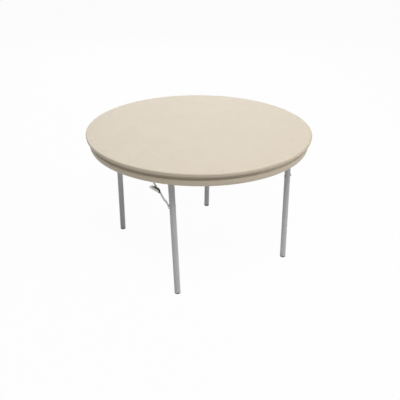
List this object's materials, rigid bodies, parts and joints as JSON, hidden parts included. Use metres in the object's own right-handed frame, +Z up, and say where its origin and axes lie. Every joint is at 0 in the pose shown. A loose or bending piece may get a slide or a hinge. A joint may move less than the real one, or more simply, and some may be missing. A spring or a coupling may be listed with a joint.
{
  "type": "round folding table",
  "caption": "Round folding table with a moulded plastic top and steel leg frames that fold flat into the underside on self-locking braces.",
  "frame": {"origin": "on the floor, under the middle of the top", "axes": "+Z up; X along the hinge tubes; Y the way the leg frames fold, the wide frame hinged on the -Y side and the narrow frame on the +Y side"},
  "size_m": [1.2191, 1.2192, 0.737],
  "materials": {
    "top_plastic": "fine-grained moulded plastic",
    "pan_plastic": "smooth formed plastic",
    "core_board": "bonded board",
    "grey_powder_coat": "satin powder coat",
    "zinc_steel": "bright zinc plate",
    "dark_plastic": "moulded nylon",
    "grey_plastic": "moulded polyethylene"
  },
  "bodies": {
    "table": {"tabletop_shell": "top_plastic", "core_board": "core_board", "underside_pan": "pan_plastic", "wide_bearing_blocks": "dark_plastic", "wide_hinge_straps": "zinc_steel", "wide_strap_screws": "zinc_steel", "wide_bracket_screws": "zinc_steel", "wide_right_bracket": "zinc_steel", "wide_left_bracket": "zinc_steel", "wide_right_bracket_pin": "zinc_steel", "wide_left_bracket_pin": "zinc_steel", "narrow_bearing_blocks": "dark_plastic", "narrow_hinge_straps": "zinc_steel", "narrow_strap_screws": "zinc_steel", "narrow_bracket_screws": "zinc_steel", "narrow_right_bracket": "zinc_steel", "narrow_left_bracket": "zinc_steel", "narrow_right_bracket_pin": "zinc_steel", "narrow_left_bracket_pin": "zinc_steel"},
    "wide_frame": {"wide_hinge_tube": "grey_powder_coat", "wide_tube_plugs": "grey_plastic", "wide_right_leg": "grey_powder_coat", "wide_right_foot_cap": "grey_plastic", "wide_right_leg_bolt": "zinc_steel", "wide_left_leg": "grey_powder_coat", "wide_left_foot_cap": "grey_plastic", "wide_left_leg_bolt": "zinc_steel"},
    "wide_right_upper_brace": {"wide_right_upper_link": "zinc_steel", "wide_right_elbow_rivet": "zinc_steel"},
    "wide_right_lower_brace": {"wide_right_lower_link": "zinc_steel", "wide_right_lower_pivot": "zinc_steel"},
    "wide_right_lever": {"wide_right_lock_lever": "zinc_steel"},
    "wide_left_upper_brace": {"wide_left_upper_link": "zinc_steel", "wide_left_elbow_rivet": "zinc_steel"},
    "wide_left_lower_brace": {"wide_left_lower_link": "zinc_steel", "wide_left_lower_pivot": "zinc_steel"},
    "wide_left_lever": {"wide_left_lock_lever": "zinc_steel"},
    "narrow_frame": {"narrow_hinge_tube": "grey_powder_coat", "narrow_tube_plugs": "grey_plastic", "narrow_right_leg": "grey_powder_coat", "narrow_right_foot_cap": "grey_plastic", "narrow_right_leg_bolt": "zinc_steel", "narrow_left_leg": "grey_powder_coat", "narrow_left_foot_cap": "grey_plastic", "narrow_left_leg_bolt": "zinc_steel"},
    "narrow_right_upper_brace": {"narrow_right_upper_link": "zinc_steel", "narrow_right_elbow_rivet": "zinc_steel"},
    "narrow_right_lower_brace": {"narrow_right_lower_link": "zinc_steel", "narrow_right_lower_pivot": "zinc_steel"},
    "narrow_right_lever": {"narrow_right_lock_lever": "zinc_steel"},
    "narrow_left_upper_brace": {"narrow_left_upper_link": "zinc_steel", "narrow_left_elbow_rivet": "zinc_steel"},
    "narrow_left_lower_brace": {"narrow_left_lower_link": "zinc_steel", "narrow_left_lower_pivot": "zinc_steel"},
    "narrow_left_lever": {"narrow_left_lock_lever": "zinc_steel"}
  },
  "joints": [
    {"name": "wide_fold", "type": "hinge", "parent": "table", "child": "wide_frame", "pos_m": [0, -0.33371, 0.6878], "axis": [1, 0, 0], "range_deg": [0, 92.83]},
    {"name": "wide_right_upper_swing", "type": "hinge", "parent": "table", "child": "wide_right_upper_brace", "pos_m": [0.38032, 0.01229, 0.6938], "axis": [1, 0, 0], "range_deg": [-25.9, 0]},
    {"name": "wide_right_elbow_fold", "type": "hinge", "parent": "wide_right_upper_brace", "child": "wide_right_lower_brace", "pos_m": [0.38032, -0.23724, 0.56112], "axis": [1, 0, 0], "range_deg": [0, 180.01]},
    {"name": "wide_right_lever_swing", "type": "hinge", "parent": "wide_right_upper_brace", "child": "wide_right_lever", "pos_m": [0.38032, -0.23724, 0.56112], "axis": [1, 0, 0], "range_deg": [0, 35.01]},
    {"name": "wide_left_upper_swing", "type": "hinge", "parent": "table", "child": "wide_left_upper_brace", "pos_m": [-0.38032, 0.01229, 0.6938], "axis": [1, 0, 0], "range_deg": [-25.9, 0]},
    {"name": "wide_left_elbow_fold", "type": "hinge", "parent": "wide_left_upper_brace", "child": "wide_left_lower_brace", "pos_m": [-0.38032, -0.23724, 0.56112], "axis": [1, 0, 0], "range_deg": [0, 180.01]},
    {"name": "wide_left_lever_swing", "type": "hinge", "parent": "wide_left_upper_brace", "child": "wide_left_lever", "pos_m": [-0.38032, -0.23724, 0.56112], "axis": [1, 0, 0], "range_deg": [0, 35.01]},
    {"name": "narrow_fold", "type": "hinge", "parent": "table", "child": "narrow_frame", "pos_m": [0, 0.39522, 0.6878], "axis": [-1, 0, 0], "range_deg": [0, 90.67]},
    {"name": "narrow_right_upper_swing", "type": "hinge", "parent": "table", "child": "narrow_right_upper_brace", "pos_m": [0.28909, 0.04922, 0.6938], "axis": [-1, 0, 0], "range_deg": [-26.4, 0]},
    {"name": "narrow_right_elbow_fold", "type": "hinge", "parent": "narrow_right_upper_brace", "child": "narrow_right_lower_brace", "pos_m": [0.28909, 0.29496, 0.5604], "axis": [-1, 0, 0], "range_deg": [0, 180.01]},
    {"name": "narrow_right_lever_swing", "type": "hinge", "parent": "narrow_right_upper_brace", "child": "narrow_right_lever", "pos_m": [0.28909, 0.29496, 0.5604], "axis": [-1, 0, 0], "range_deg": [0, 35.51]},
    {"name": "narrow_left_upper_swing", "type": "hinge", "parent": "table", "child": "narrow_left_upper_brace", "pos_m": [-0.28909, 0.04922, 0.6938], "axis": [-1, 0, 0], "range_deg": [-26.4, 0]},
    {"name": "narrow_left_elbow_fold", "type": "hinge", "parent": "narrow_left_upper_brace", "child": "narrow_left_lower_brace", "pos_m": [-0.28909, 0.29496, 0.5604], "axis": [-1, 0, 0], "range_deg": [0, 180.01]},
    {"name": "narrow_left_lever_swing", "type": "hinge", "parent": "narrow_left_upper_brace", "child": "narrow_left_lever", "pos_m": [-0.28909, 0.29496, 0.5604], "axis": [-1, 0, 0], "range_deg": [0, 35.51]}
  ],
  "couplings": [
    {"joint": "wide_right_upper_swing", "follows": "wide_fold", "ratio": -0.27892},
    {"joint": "wide_right_elbow_fold", "follows": "wide_fold", "ratio": 1.939},
    {"joint": "wide_right_lever_swing", "follows": "wide_fold", "ratio": 0.37704},
    {"joint": "wide_left_upper_swing", "follows": "wide_fold", "ratio": -0.27892},
    {"joint": "wide_left_elbow_fold", "follows": "wide_fold", "ratio": 1.939},
    {"joint": "wide_left_lever_swing", "follows": "wide_fold", "ratio": 0.37704},
    {"joint": "narrow_right_upper_swing", "follows": "narrow_fold", "ratio": -0.29104},
    {"joint": "narrow_right_elbow_fold", "follows": "narrow_fold", "ratio": 1.9853},
    {"joint": "narrow_right_lever_swing", "follows": "narrow_fold", "ratio": 0.3915},
    {"joint": "narrow_left_upper_swing", "follows": "narrow_fold", "ratio": -0.29104},
    {"joint": "narrow_left_elbow_fold", "follows": "narrow_fold", "ratio": 1.9853},
    {"joint": "narrow_left_lever_swing", "follows": "narrow_fold", "ratio": 0.3915}
  ]
}
